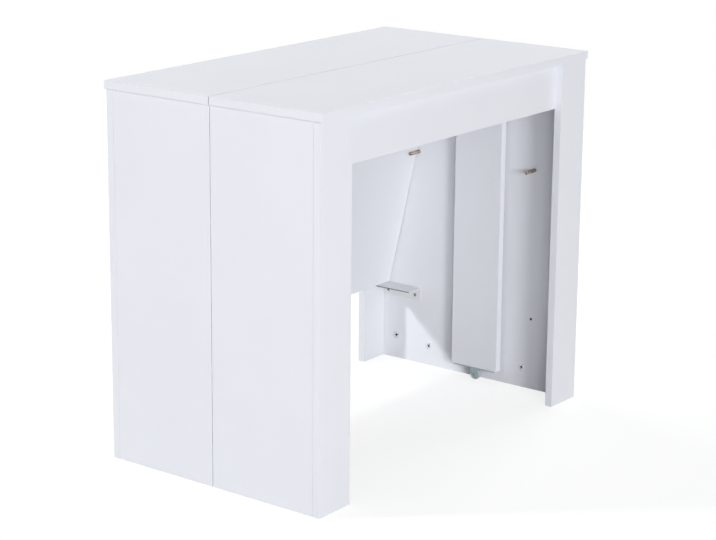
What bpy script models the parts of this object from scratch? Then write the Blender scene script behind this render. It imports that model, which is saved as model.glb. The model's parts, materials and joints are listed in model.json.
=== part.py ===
"""Extending console table of white board, modelled closed.

Two mirrored halves meet in the middle and slide apart along Y on telescopic runners. A board leg
with a small wheel hangs from the middle runner on each side. One loose leaf leans in the far half.
Metres, +Z up, origin on the floor under the middle of the table. Near is -Y and right is +X.
"""

import math

import bmesh
import bpy
from mathutils import Matrix, Vector

# Whole table, closed
TABLE_WIDTH = 0.900
TABLE_DEPTH = 0.526
TABLE_HEIGHT = 0.760

# Boards
BOARD = 0.016
TOP_BOARD = 0.016
TOP_OVERHANG = 0.003
LEG_STRIP_WIDTH = 0.0915
APRON_HEIGHT = 0.096
TOP_SPLIT_GAP = 0.0026
SIDE_SPLIT_GAP = 0.0024
STRIP_JOINT_GAP = 0.0006
EDGE_ROUND = 0.0008

# Clearances
SEAT = 0.0003
RUN = 0.0004

# Cam locks and the steel studs that they pull on
CAM_RADIUS = 0.0075
CAM_FLOOR = 0.0035
CAM_SETBACK = 0.036
CAM_SLOT_LENGTH = 0.0085
CAM_SLOT_WIDTH = 0.0018
CAM_SLOT_DEPTH = 0.0022
CAM_TURN = {"near": math.radians(65), "far": math.radians(40)}
STUD_RADIUS = 0.003
STUD_FLOOR = 0.005
STRIP_CAM_HEIGHT = 0.054
FOOT_CAM_HEIGHT = 0.045
FOOT_CAM_SETBACK = {"near": 0.111, "far": 0.127}

# Rack for the loose leaf
LEAF_DEPTH = 0.465
LEAF_THICKNESS = 0.016
LEAF_END_GAP = 0.002
LEAF_HEADROOM = 0.065
DOWEL_RADIUS = 0.004
DOWEL_PROUD = 0.035
DOWEL_FLOOR = 0.006
DOWEL_CHAMFER = 0.001
DOWEL_RISE = 0.3135
DOWEL_SETBACK = 0.0915
BRACKET_LENGTH = 0.104
BRACKET_SHELF = 0.048
BRACKET_DROP = 0.030
BRACKET_SHEET = 0.0025
BRACKET_SCREW_RISE = 0.011
BRACKET_SCREW_INSET = 0.0145

# Runner profiles, side by side with a tongue in the next one's groove
RUNNER_WEB = 0.0034
RUNNER_HEIGHT = 0.040
RUNNER_GAP = 0.0008
RUNNER_END_GAP = 0.006
RUNNER_SIDE_GAP = 0.004
LIP = 0.0020
TONGUE_HEAD = 0.0024
NECK_HALF = 0.0016
HEAD_HALF = 0.0040
GROOVE_FLOOR_GAP = 0.0012
FLANGE_WIDTH = 0.022
FLANGE_SIDE_GAP = 0.008
FLANGE_SHEET = 0.003
CENTRE_RUNNER_DROP = 0.003

# Pan-head screws
SCREW_RADIUS = 0.00175
SCREW_HEAD_RADIUS = 0.0040
SCREW_HEAD_HEIGHT = 0.0020
SCREW_RIM_HEIGHT = 0.0007
SCREW_CROWN_RADIUS = 0.0024
SCREW_CROWN_DROP = 0.00015
SCREW_FLOOR = 0.006

# Centre legs and their castors
CENTRE_LEG_WIDTH = 0.119
CENTRE_LEG_OFFSET = -0.024
CENTRE_LEG_GAP = 0.010
CENTRE_LEG_HEADROOM = 0.004
HANGER_LENGTH = 0.060
HANGER_DROP = 0.060
HANGER_SHEET = 0.0025
WHEEL_RADIUS = 0.013
WHEEL_WIDTH = 0.008
WHEEL_HUB_RADIUS = 0.0045
WHEEL_DISH = 0.0012
WHEEL_RIM = 0.0030
WHEEL_ROUND = 0.0012
WHEEL_CROWN_GAP = 0.0016
AXLE_RADIUS = 0.0015
FORK_LENGTH = 0.020
FORK_SHEET = 0.0016
FORK_SIDE_GAP = 0.0006
STEM_RADIUS = 0.004
STEM_LENGTH = 0.012

# Facets of round pieces
CAM_FACETS = 20
ROD_FACETS = 12
SCREW_FACETS = 10
WHEEL_FACETS = 32
SHARP_ANGLE = math.radians(35)
MERGE = 0.000005

# Places that several pieces share
HALVES = {"near": -1, "far": 1}
SIDES = {"left": -1, "right": 1}
UNDERSIDE = TABLE_HEIGHT - TOP_BOARD
BODY_X = TABLE_WIDTH / 2 - TOP_OVERHANG
BODY_Y = TABLE_DEPTH / 2 - TOP_OVERHANG
SIDE_FACE_X = BODY_X - BOARD
STRIP_FACE_Y = BODY_Y - BOARD
APRON_FACE_Y = STRIP_FACE_Y - SEAT - BOARD
CAM_DEPTH = BOARD - CAM_FLOOR
STUD_BITE = BOARD - STUD_FLOOR
DOWEL_BITE = BOARD - DOWEL_FLOOR
DOWEL_REACH = STRIP_FACE_Y - DOWEL_SETBACK
SCREW_BITE = BOARD - SCREW_FLOOR
LEG_FACE_X = SIDE_FACE_X - CENTRE_LEG_GAP - BOARD
NECK_LENGTH = RUNNER_GAP + LIP + RUN
GROOVE_DEPTH = NECK_LENGTH + TONGUE_HEAD + GROOVE_FLOOR_GAP - RUNNER_GAP
RUNNER_WIDTH = GROOVE_DEPTH + RUNNER_WEB
RUNNER_OUTER_X = LEG_FACE_X - RUNNER_SIDE_GAP
RUNNER_PITCH = RUNNER_WIDTH + RUNNER_GAP
RUNNER_LENGTH = 2 * (APRON_FACE_Y - RUNNER_END_GAP)
RUNNER_TOP = UNDERSIDE - RUN
RUNNER_BOTTOM = RUNNER_TOP - RUNNER_HEIGHT
FLANGE_BOTTOM = RUNNER_TOP - FLANGE_SHEET
CENTRE_LEG_LIFT = 2 * WHEEL_RADIUS + WHEEL_CROWN_GAP + FORK_SHEET + SEAT
CENTRE_LEG_TOP = FLANGE_BOTTOM - CENTRE_LEG_HEADROOM
RUNNER_STAGES = (
    "near_runner",
    "near_outer_stage",
    "near_inner_stage",
    "centre_runner",
    "far_inner_stage",
    "far_outer_stage",
    "far_runner",
)
CENTRE_STAGE = RUNNER_STAGES.index("centre_runner")
LEAN_STEPS = 20


def clear_scene():
    """Removes every object that is in the scene."""
    for obj in list(bpy.data.objects):
        bpy.data.objects.remove(obj, do_unlink=True)


def new_collection(name):
    """A collection of the scene, with this name."""
    collection = bpy.data.collections.new(name)
    bpy.context.scene.collection.children.link(collection)
    return collection


def new_material(name, color, roughness, metallic=0.0):
    """A plain Principled material."""
    material = bpy.data.materials.new(name)
    material.use_nodes = True
    shader = material.node_tree.nodes["Principled BSDF"]
    shader.inputs["Base Color"].default_value = (*color, 1.0)
    shader.inputs["Roughness"].default_value = roughness
    shader.inputs["Metallic"].default_value = metallic
    return material


clear_scene()
PARTS = new_collection("extending_table")
CUTTERS = new_collection("extending_table_cutters")
WHITE = new_material("white_board", (0.86, 0.87, 0.89), 0.35)
WHITE_METAL = new_material("white_metal", (0.80, 0.81, 0.83), 0.40)
ALUMINIUM = new_material("aluminium", (0.72, 0.73, 0.74), 0.35, 1.0)
STEEL = new_material("steel", (0.62, 0.62, 0.62), 0.30, 1.0)
ZINC = new_material("zinc", (0.66, 0.67, 0.69), 0.38, 1.0)
BEECH = new_material("beech", (0.62, 0.40, 0.20), 0.60)
GREY_PLASTIC = new_material("grey_plastic", (0.48, 0.55, 0.57), 0.40)


def add_empty(name, location=(0.0, 0.0, 0.0)):
    """A parent for the pieces of one moving body, at its joint."""
    empty = bpy.data.objects.new(name, None)
    empty.location = location
    empty.empty_display_size = BOARD
    PARTS.objects.link(empty)
    return empty


def add_part(name, mesh, material, parent, place):
    """A visible piece at a place in the table, parented to its body's empty."""
    part = bpy.data.objects.new(name, mesh)
    mesh.materials.clear()
    mesh.materials.append(material)
    part.parent = parent
    part.matrix_basis = Matrix.Translation(-parent.location) @ place
    PARTS.objects.link(part)
    return part


def add_cutter(name, mesh):
    """A hidden shape that is only cut away from a piece."""
    cutter = bpy.data.objects.new(name, mesh)
    cutter.hide_render = True
    cutter.display_type = "WIRE"
    CUTTERS.objects.link(cutter)
    return cutter


def cut(part, cutter, operation="DIFFERENCE"):
    """Cuts, or joins, the cutter's shape on the part."""
    modifier = part.modifiers.new(cutter.name, "BOOLEAN")
    modifier.operation = operation
    modifier.object = cutter


def smooth_round_faces(mesh):
    """Shades a mesh smooth, with its corners kept sharp."""
    mesh.shade_smooth()
    mesh.set_sharp_from_angle(angle=SHARP_ANGLE)


def mesh_from(name, bm):
    """Turns a bmesh into a mesh and frees it."""
    mesh = bpy.data.meshes.new(name)
    bm.to_mesh(mesh)
    bm.free()
    return mesh


def evaluated_mesh(obj):
    """The mesh of an object with its modifiers applied; the object is then removed."""
    bpy.context.view_layer.update()
    graph = bpy.context.evaluated_depsgraph_get()
    mesh = bpy.data.meshes.new_from_object(obj.evaluated_get(graph))
    bpy.data.objects.remove(obj, do_unlink=True)
    return mesh


def box_mesh(name, size, centre=(0.0, 0.0, 0.0)):
    """A box of this size round a centre."""
    bm = bmesh.new()
    bmesh.ops.create_cube(bm, size=1.0)
    bmesh.ops.scale(bm, vec=Vector(size), verts=bm.verts)
    bmesh.ops.translate(bm, vec=Vector(centre), verts=bm.verts)
    return mesh_from(name, bm)


def rods_mesh(name, rods, facets):
    """Straight round rods, each given as a radius and its two end points."""
    bm = bmesh.new()
    for radius, start, end in rods:
        run = Vector(end) - Vector(start)
        turn = run.to_track_quat("Z", "Y").to_matrix().to_4x4()
        place = Matrix.Translation((Vector(start) + Vector(end)) / 2) @ turn
        bmesh.ops.create_cone(
            bm,
            cap_ends=True,
            segments=facets,
            radius1=radius,
            radius2=radius,
            depth=run.length,
            matrix=place,
        )
    return mesh_from(name, bm)


def turned_mesh(name, profile, facets, closed=False):
    """A profile of (radius, height) points turned about Z, listed down its outer side."""
    bm = bmesh.new()
    points = [bm.verts.new((radius, 0.0, height)) for radius, height in profile]
    for first, second in zip(points, points[1:]):
        bm.edges.new((first, second))
    if closed:
        bm.edges.new((points[-1], points[0]))
    blank = bpy.data.objects.new(name, mesh_from(name, bm))
    PARTS.objects.link(blank)
    screw = blank.modifiers.new("turn", "SCREW")
    screw.steps = facets
    screw.render_steps = facets
    screw.use_merge_vertices = True
    screw.merge_threshold = MERGE
    mesh = evaluated_mesh(blank)
    smooth_round_faces(mesh)
    return mesh


def profile_mesh(name, outline, length):
    """An outline of (x, z) points drawn out along Y, half of the length each way."""
    curve = bpy.data.curves.new(name, "CURVE")
    curve.dimensions = "2D"
    curve.fill_mode = "BOTH"
    curve.extrude = length / 2
    spline = curve.splines.new("POLY")
    spline.points.add(len(outline) - 1)
    for point, (x, z) in zip(spline.points, outline):
        point.co = (x, z, 0.0, 1.0)
    spline.use_cyclic_u = True
    blank = bpy.data.objects.new(name, curve)
    PARTS.objects.link(blank)
    bm = bmesh.new()
    bm.from_mesh(evaluated_mesh(blank))
    bmesh.ops.remove_doubles(bm, verts=bm.verts, dist=MERGE)
    bmesh.ops.rotate(bm, matrix=Matrix.Rotation(math.pi / 2, 3, "X"), verts=bm.verts)
    bmesh.ops.recalc_face_normals(bm, faces=bm.faces)
    return mesh_from(name, bm)


def at(x, y, z):
    """A place that is only moved, not turned."""
    return Matrix.Translation((x, y, z))


def facing(point, direction, turn=0.0):
    """A place at the point with local Z along the direction."""
    swing = Vector(direction).to_track_quat("Z", "Y").to_matrix().to_4x4()
    return Matrix.Translation(point) @ swing @ Matrix.Rotation(turn, 4, "Z")


def mirrored(outline, side):
    """The outline as drawn for the right side, or its mirror image for the left."""
    if side > 0:
        return outline
    return [(-x, z) for x, z in reversed(outline)]


def add_board(name, corner, opposite, material, parent):
    """A board between two opposite corners, with its edges softened."""
    corner = Vector(corner)
    opposite = Vector(opposite)
    size = [abs(a - b) for a, b in zip(corner, opposite)]
    middle = (corner + opposite) / 2
    part = add_part(name, box_mesh(name, size), material, parent, at(*middle))
    soften_edges(part)
    return part


def soften_edges(part):
    """Rounds a board's edges slightly, as its edge strips are."""
    bevel = part.modifiers.new("soft edges", "BEVEL")
    bevel.width = EDGE_ROUND
    bevel.segments = 2


def screw_mesh(grip):
    """A pan-head screw whose head seats at Z 0 and whose shank passes through the grip."""
    head = SCREW_HEAD_HEIGHT
    foot = -(grip + SCREW_BITE)
    profile = [
        (0.0, head),
        (SCREW_CROWN_RADIUS, head - SCREW_CROWN_DROP),
        (SCREW_HEAD_RADIUS, SCREW_RIM_HEIGHT),
        (SCREW_HEAD_RADIUS, SEAT),
        (SCREW_RADIUS, SEAT),
        (SCREW_RADIUS, foot),
        (0.0, foot),
    ]
    return turned_mesh("screw", profile, SCREW_FACETS)


def screw_hole(seat, direction, grip):
    """The round hole that a screw's shank fills, from its seat inwards."""
    inwards = -Vector(direction)
    start = Vector(seat) - inwards * SEAT
    return SCREW_RADIUS + SEAT, start, Vector(seat) + inwards * (grip + SCREW_BITE + SEAT)


def cam_mesh():
    """A cam lock with a crossed slot in its face at Z 0."""
    rods = [(CAM_RADIUS, (0.0, 0.0, -CAM_DEPTH), (0.0, 0.0, 0.0))]
    blank = add_cutter("cam_blank", rods_mesh("cam", rods, CAM_FACETS))
    tall = 2 * CAM_SLOT_DEPTH
    along = add_cutter("cam_slot", box_mesh("slot", (CAM_SLOT_LENGTH, CAM_SLOT_WIDTH, tall)))
    across = add_cutter("cam_cross", box_mesh("cross", (CAM_SLOT_WIDTH, CAM_SLOT_LENGTH, tall)))
    cut(blank, along)
    cut(blank, across)
    mesh = evaluated_mesh(blank)
    bpy.data.objects.remove(along, do_unlink=True)
    bpy.data.objects.remove(across, do_unlink=True)
    smooth_round_faces(mesh)
    return mesh


def rack_lean():
    """The stored leaf's lean, and the Y and Z of its front bottom edge.

    The leaf's foot stands on the brackets against the leg strips, its front rests on the dowels,
    and its top stays the headroom below the runners, so the three are solved together.
    """
    lean = 0.0
    for _ in range(LEAN_STEPS):
        front = STRIP_FACE_Y - SEAT - LEAF_THICKNESS * math.cos(lean)
        top = RUNNER_BOTTOM - CENTRE_RUNNER_DROP - LEAF_HEADROOM
        foot = top - LEAF_DEPTH * math.cos(lean) - LEAF_THICKNESS * math.sin(lean)
        run = front - DOWEL_REACH
        rise = DOWEL_RISE - SEAT
        slack = math.asin((DOWEL_RADIUS + SEAT) / math.hypot(run, rise))
        lean = math.atan2(run, rise) - slack
    return lean, front, foot


LEAN, LEAF_FRONT_Y, LEAF_FOOT_Z = rack_lean()
SHELF_TOP = LEAF_FOOT_Z - SEAT
DOWEL_HEIGHT = SHELF_TOP + DOWEL_RISE
BRACKET_SEAT_X = SIDE_FACE_X - SEAT
BRACKET_BACK_Y = STRIP_FACE_Y - SEAT
BRACKET_FRONT_Y = BRACKET_BACK_Y - BRACKET_LENGTH
BRACKET_SCREW_YS = {
    "front": BRACKET_FRONT_Y + BRACKET_SCREW_INSET,
    "rear": BRACKET_BACK_Y - BRACKET_SCREW_INSET,
}
BRACKET_GRIP = BRACKET_SHEET + SEAT


def panel_cams(half):
    """The (Y, Z) of the two cam locks on a half's side panels, by name."""
    sign = HALVES[half]
    return {
        "strip_cam": (sign * (STRIP_FACE_Y - CAM_SETBACK), STRIP_CAM_HEIGHT),
        "foot_cam": (sign * (STRIP_FACE_Y - FOOT_CAM_SETBACK[half]), FOOT_CAM_HEIGHT),
    }


def stud_ends(half, side):
    """The ends of the stud that a strip cam pulls on: in the leg strip, and at the cam's rim."""
    sign = HALVES[half]
    x = side * (SIDE_FACE_X + BOARD / 2)
    bitten = sign * (STRIP_FACE_Y + STUD_BITE)
    rim = sign * (STRIP_FACE_Y - CAM_SETBACK + CAM_RADIUS + SEAT)
    return Vector((x, bitten, STRIP_CAM_HEIGHT)), Vector((x, rim, STRIP_CAM_HEIGHT))


def stud_bore(half, side):
    """The bore round a stud, run on past its end in the strip and into the cam's pocket."""
    bitten, rim = stud_ends(half, side)
    along = (rim - bitten).normalized()
    return STUD_RADIUS + SEAT, bitten - along * SEAT, rim + along * CAM_RADIUS / 2


def bracket_screw_seat(side, y):
    """Where a bracket screw's head seats, on the bracket's upright flange."""
    z = SHELF_TOP - BRACKET_DROP + BRACKET_SCREW_RISE
    return Vector((side * (BRACKET_SEAT_X - BRACKET_SHEET), y, z))


def panel_pockets(half, side):
    """Holes sunk in a side panel's inner face: cam pockets, the dowel's hole and screw holes."""
    sign = HALVES[half]
    face = side * (SIDE_FACE_X - SEAT)
    holes = []
    for y, z in panel_cams(half).values():
        floor = side * (SIDE_FACE_X + CAM_DEPTH + SEAT)
        holes.append((CAM_RADIUS + SEAT, (face, y, z), (floor, y, z)))
    dowel_floor = side * (SIDE_FACE_X + DOWEL_BITE + SEAT)
    dowel_y = sign * DOWEL_REACH
    dowel_ends = (face, dowel_y, DOWEL_HEIGHT), (dowel_floor, dowel_y, DOWEL_HEIGHT)
    holes.append((DOWEL_RADIUS + SEAT, *dowel_ends))
    for y in BRACKET_SCREW_YS.values():
        seat = bracket_screw_seat(side, sign * y)
        holes.append(screw_hole(seat, (-side, 0.0, 0.0), BRACKET_GRIP))
    return holes


def add_half_boards(half, body):
    """The boards of one half: top, apron, two side panels and two leg strips."""
    sign = HALVES[half]
    ceiling = UNDERSIDE - SEAT
    add_board(
        f"{half}_top",
        (-TABLE_WIDTH / 2, sign * TOP_SPLIT_GAP / 2, UNDERSIDE),
        (TABLE_WIDTH / 2, sign * TABLE_DEPTH / 2, TABLE_HEIGHT),
        WHITE,
        body,
    )
    add_board(
        f"{half}_apron",
        (-(SIDE_FACE_X - SEAT), sign * APRON_FACE_Y, UNDERSIDE - APRON_HEIGHT),
        (SIDE_FACE_X - SEAT, sign * (STRIP_FACE_Y - SEAT), ceiling),
        WHITE,
        body,
    )
    for side_name, side in SIDES.items():
        name = f"{half}_{side_name}"
        pockets = rods_mesh("pockets", panel_pockets(half, side), CAM_FACETS)
        bore = add_cutter(f"{name}_bore", rods_mesh("bore", [stud_bore(half, side)], ROD_FACETS))
        panel = add_board(
            f"{name}_side",
            (side * SIDE_FACE_X, sign * SIDE_SPLIT_GAP / 2, 0.0),
            (side * BODY_X, sign * (STRIP_FACE_Y - STRIP_JOINT_GAP), ceiling),
            WHITE,
            body,
        )
        cut(panel, add_cutter(f"{name}_pockets", pockets))
        cut(panel, bore)
        strip = add_board(
            f"{name}_leg_strip",
            (side * (BODY_X - LEG_STRIP_WIDTH), sign * STRIP_FACE_Y, 0.0),
            (side * BODY_X, sign * BODY_Y, ceiling),
            WHITE,
            body,
        )
        cut(strip, bore)


def add_half_fittings(half, body, cam, dowel):
    """The hardware in one half's side panels: cam locks, a stud and a dowel pin in each."""
    sign = HALVES[half]
    for side_name, side in SIDES.items():
        name = f"{half}_{side_name}"
        inwards = (-side, 0.0, 0.0)
        for cam_name, (y, z) in panel_cams(half).items():
            place = facing((side * SIDE_FACE_X, y, z), inwards, CAM_TURN[half])
            add_part(f"{name}_{cam_name}", cam, ZINC, body, place)
        stud = rods_mesh("stud", [(STUD_RADIUS, *stud_ends(half, side))], ROD_FACETS)
        smooth_round_faces(stud)
        add_part(f"{name}_strip_stud", stud, STEEL, body, Matrix.Identity(4))
        dowel_place = facing((side * SIDE_FACE_X, sign * DOWEL_REACH, DOWEL_HEIGHT), inwards)
        add_part(f"{name}_dowel", dowel, BEECH, body, dowel_place)


def dowel_mesh():
    """A dowel pin with chamfered ends, whose root in the panel's face is at Z 0."""
    narrow = DOWEL_RADIUS - DOWEL_CHAMFER
    profile = [
        (0.0, DOWEL_PROUD),
        (narrow, DOWEL_PROUD),
        (DOWEL_RADIUS, DOWEL_PROUD - DOWEL_CHAMFER),
        (DOWEL_RADIUS, DOWEL_CHAMFER - DOWEL_BITE),
        (narrow, -DOWEL_BITE),
        (0.0, -DOWEL_BITE),
    ]
    return turned_mesh("dowel", profile, CAM_FACETS)


def runner_outline(stage):
    """A right-hand runner's section, with X outwards from its middle and Z from its middle.

    Every stage but the first has a groove in its outer side, and every stage but the last has a
    headed tongue on its inner side. The two fixed stages have a flange along their top.
    """
    half_width = RUNNER_WIDTH / 2
    top = RUNNER_HEIGHT / 2
    bottom = -top
    if stage == CENTRE_STAGE:
        bottom -= CENTRE_RUNNER_DROP
    outline = []
    if stage > 0:
        mouth = NECK_HALF + RUN
        chamber = HEAD_HALF + RUN
        lip_face = half_width - LIP
        groove_floor = half_width - GROOVE_DEPTH
        outline += [
            (half_width, bottom),
            (half_width, -mouth),
            (lip_face, -mouth),
            (lip_face, -chamber),
            (groove_floor, -chamber),
            (groove_floor, chamber),
            (lip_face, chamber),
            (lip_face, mouth),
            (half_width, mouth),
            (half_width, top),
        ]
    else:
        flange_edge = SIDE_FACE_X - FLANGE_SIDE_GAP - runner_middle_x(stage)
        outline += [
            (half_width, bottom),
            (half_width, top - FLANGE_SHEET),
            (flange_edge, top - FLANGE_SHEET),
            (flange_edge, top),
        ]
    if stage < len(RUNNER_STAGES) - 1:
        head_back = -half_width - NECK_LENGTH
        head_front = head_back - TONGUE_HEAD
        outline += [
            (-half_width, top),
            (-half_width, NECK_HALF),
            (head_back, NECK_HALF),
            (head_back, HEAD_HALF),
            (head_front, HEAD_HALF),
            (head_front, -HEAD_HALF),
            (head_back, -HEAD_HALF),
            (head_back, -NECK_HALF),
            (-half_width, -NECK_HALF),
            (-half_width, bottom),
        ]
    else:
        flange_edge = -half_width - FLANGE_WIDTH
        outline += [
            (flange_edge, top),
            (flange_edge, top - FLANGE_SHEET),
            (-half_width, top - FLANGE_SHEET),
            (-half_width, bottom),
        ]
    return outline


def runner_middle_x(stage):
    """How far from the middle of the table a runner stage has its own middle."""
    return RUNNER_OUTER_X - RUNNER_WIDTH / 2 - stage * RUNNER_PITCH


def add_runners(bodies):
    """Both stacks of runner profiles, each stage on its own body."""
    middle_z = RUNNER_TOP - RUNNER_HEIGHT / 2
    for side_name, side in SIDES.items():
        for stage, stage_name in enumerate(RUNNER_STAGES):
            name = f"{side_name}_{stage_name}"
            mesh = profile_mesh(name, mirrored(runner_outline(stage), side), RUNNER_LENGTH)
            place = at(side * runner_middle_x(stage), 0.0, middle_z)
            add_part(name, mesh, ALUMINIUM, bodies[stage_name], place)


def add_centre_leg(side_name, side, body):
    """A centre leg board with the angle hanger that carries it from the centre runner."""
    leg = add_board(
        f"{side_name}_centre_leg",
        (side * LEG_FACE_X, CENTRE_LEG_OFFSET - CENTRE_LEG_WIDTH / 2, CENTRE_LEG_LIFT),
        (side * (LEG_FACE_X + BOARD), CENTRE_LEG_OFFSET + CENTRE_LEG_WIDTH / 2, CENTRE_LEG_TOP),
        WHITE,
        body,
    )
    stem_x = side * (LEG_FACE_X + BOARD / 2)
    stem_foot = (stem_x, CENTRE_LEG_OFFSET, CENTRE_LEG_LIFT - SEAT)
    stem_top = (stem_x, CENTRE_LEG_OFFSET, CENTRE_LEG_LIFT + STEM_LENGTH + SEAT)
    stem_hole = rods_mesh("hole", [(STEM_RADIUS + SEAT, stem_foot, stem_top)], ROD_FACETS)
    cut(leg, add_cutter(f"{side_name}_stem_hole", stem_hole))

    plate_top = RUNNER_BOTTOM - CENTRE_RUNNER_DROP - SEAT
    outer = LEG_FACE_X - SEAT
    inner = runner_middle_x(CENTRE_STAGE) - RUNNER_WIDTH / 2
    outline = [
        (outer, plate_top),
        (inner, plate_top),
        (inner, plate_top - HANGER_SHEET),
        (outer - HANGER_SHEET, plate_top - HANGER_SHEET),
        (outer - HANGER_SHEET, plate_top - HANGER_DROP),
        (outer, plate_top - HANGER_DROP),
    ]
    name = f"{side_name}_leg_hanger"
    mesh = profile_mesh(name, mirrored(outline, side), HANGER_LENGTH)
    add_part(name, mesh, STEEL, body, at(0.0, CENTRE_LEG_OFFSET, 0.0))


def add_castor(side_name, side, body):
    """A castor under a centre leg: a fork with a stem, an axle and the wheel on it."""
    x = side * (LEG_FACE_X + BOARD / 2)
    axle_point = Vector((x, CENTRE_LEG_OFFSET, WHEEL_RADIUS))
    fork_top = CENTRE_LEG_LIFT - SEAT - WHEEL_RADIUS
    inside = WHEEL_WIDTH / 2 + FORK_SIDE_GAP
    outside = inside + FORK_SHEET
    cheek_foot = -2 * AXLE_RADIUS
    outline = [
        (outside, cheek_foot),
        (outside, fork_top),
        (-outside, fork_top),
        (-outside, cheek_foot),
        (-inside, cheek_foot),
        (-inside, fork_top - FORK_SHEET),
        (inside, fork_top - FORK_SHEET),
        (inside, cheek_foot),
    ]
    name = f"{side_name}_castor_fork"
    fork_mesh = profile_mesh(name, outline, FORK_LENGTH)
    fork = add_part(name, fork_mesh, GREY_PLASTIC, body, at(*axle_point))
    stem_foot = axle_point + Vector((0.0, 0.0, fork_top - FORK_SHEET / 2))
    stem_top = axle_point + Vector((0.0, 0.0, fork_top + SEAT + STEM_LENGTH))
    stem = rods_mesh("stem", [(STEM_RADIUS, stem_foot, stem_top)], ROD_FACETS)
    cut(fork, add_cutter(f"{side_name}_stem", stem), "UNION")
    reach = Vector((outside + SEAT, 0.0, 0.0))
    axle_hole = [(AXLE_RADIUS + SEAT, axle_point - reach, axle_point + reach)]
    hole_mesh = rods_mesh("axle_hole", axle_hole, ROD_FACETS)
    cut(fork, add_cutter(f"{side_name}_axle_hole", hole_mesh))

    name = f"{side_name}_castor_axle"
    axle_half = Vector((outside, 0.0, 0.0))
    axle = rods_mesh(name, [(AXLE_RADIUS, -axle_half, axle_half)], ROD_FACETS)
    smooth_round_faces(axle)
    add_part(name, axle, STEEL, body, at(*axle_point))

    half = WHEEL_WIDTH / 2
    dish = half - WHEEL_DISH
    web_edge = WHEEL_RADIUS - WHEEL_RIM
    bore = AXLE_RADIUS + SEAT
    upper = [
        (bore, half),
        (WHEEL_HUB_RADIUS, half),
        (WHEEL_HUB_RADIUS, dish),
        (web_edge, dish),
        (web_edge, half),
        (WHEEL_RADIUS - WHEEL_ROUND, half),
        (WHEEL_RADIUS, half - WHEEL_ROUND),
    ]
    lower = [(radius, -height) for radius, height in reversed(upper)]
    wheel_mesh = turned_mesh("wheel", upper + lower, WHEEL_FACETS, closed=True)
    axle_empty = add_empty(f"{side_name}_castor_axis", axle_point)
    axle_empty.parent = body
    wheel_place = facing(axle_point, (1.0, 0.0, 0.0))
    add_part(f"{side_name}_castor_wheel", wheel_mesh, GREY_PLASTIC, axle_empty, wheel_place)


def add_rack(body):
    """The angle brackets that carry the loose leaf in the far half, with their screws."""
    outline = [
        (BRACKET_SEAT_X, SHELF_TOP),
        (BRACKET_SEAT_X - BRACKET_SHELF, SHELF_TOP),
        (BRACKET_SEAT_X - BRACKET_SHELF, SHELF_TOP - BRACKET_SHEET),
        (BRACKET_SEAT_X - BRACKET_SHEET, SHELF_TOP - BRACKET_SHEET),
        (BRACKET_SEAT_X - BRACKET_SHEET, SHELF_TOP - BRACKET_DROP),
        (BRACKET_SEAT_X, SHELF_TOP - BRACKET_DROP),
    ]
    middle_y = (BRACKET_FRONT_Y + BRACKET_BACK_Y) / 2
    screw = screw_mesh(BRACKET_GRIP)
    for side_name, side in SIDES.items():
        name = f"{side_name}_leaf_bracket"
        mesh = profile_mesh(name, mirrored(outline, side), BRACKET_LENGTH)
        bracket = add_part(name, mesh, WHITE_METAL, body, at(0.0, middle_y, 0.0))
        inwards = (-side, 0.0, 0.0)
        holes = []
        for end_name, y in BRACKET_SCREW_YS.items():
            seat = bracket_screw_seat(side, y)
            holes.append(screw_hole(seat, inwards, BRACKET_GRIP))
            add_part(f"{name}_{end_name}_screw", screw, STEEL, body, facing(seat, inwards))
        cut(bracket, add_cutter(f"{name}_holes", rods_mesh("holes", holes, ROD_FACETS)))


def add_leaf():
    """The loose leaf, with its origin on its front bottom edge, leaning in the rack."""
    foot = Vector((0.0, LEAF_FRONT_Y, LEAF_FOOT_Z))
    rest = add_empty("stored_leaf_lift", foot)
    size = (2 * (SIDE_FACE_X - LEAF_END_GAP), LEAF_THICKNESS, LEAF_DEPTH)
    mesh = box_mesh("stored_leaf", size, (0.0, LEAF_THICKNESS / 2, LEAF_DEPTH / 2))
    leaning = Matrix.Translation(foot) @ Matrix.Rotation(LEAN, 4, "X")
    soften_edges(add_part("stored_leaf", mesh, WHITE, rest, leaning))


def build():
    """Builds the whole table."""
    halves = {half: add_empty(f"{half}_half_slide") for half in HALVES}
    bodies = {"near_runner": halves["near"], "far_runner": halves["far"]}
    for stage_name in RUNNER_STAGES[1:-1]:
        bodies[stage_name] = add_empty(f"{stage_name}_slide")
    cam = cam_mesh()
    dowel = dowel_mesh()
    for half, body in halves.items():
        add_half_boards(half, body)
        add_half_fittings(half, body, cam, dowel)
    add_runners(bodies)
    for side_name, side in SIDES.items():
        add_centre_leg(side_name, side, bodies["centre_runner"])
        add_castor(side_name, side, bodies["centre_runner"])
    add_rack(halves["far"])
    add_leaf()


build()
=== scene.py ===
"""White extending console table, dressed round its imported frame.

Each sub-assembly is a class whose sizes are fields: the two halves, the runner stacks, the centre
legs with their castors, and the rack with the stored leaf. Each finish is a class of its own.
Metres, +Z up, in the frame's own coordinates: near is -Y, right is +X.
"""

import json
import logging
import math
from collections.abc import Iterable, Sequence
from dataclasses import dataclass, field
from enum import Enum

import bmesh
import bpy
from mathutils import Matrix, Vector


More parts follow.
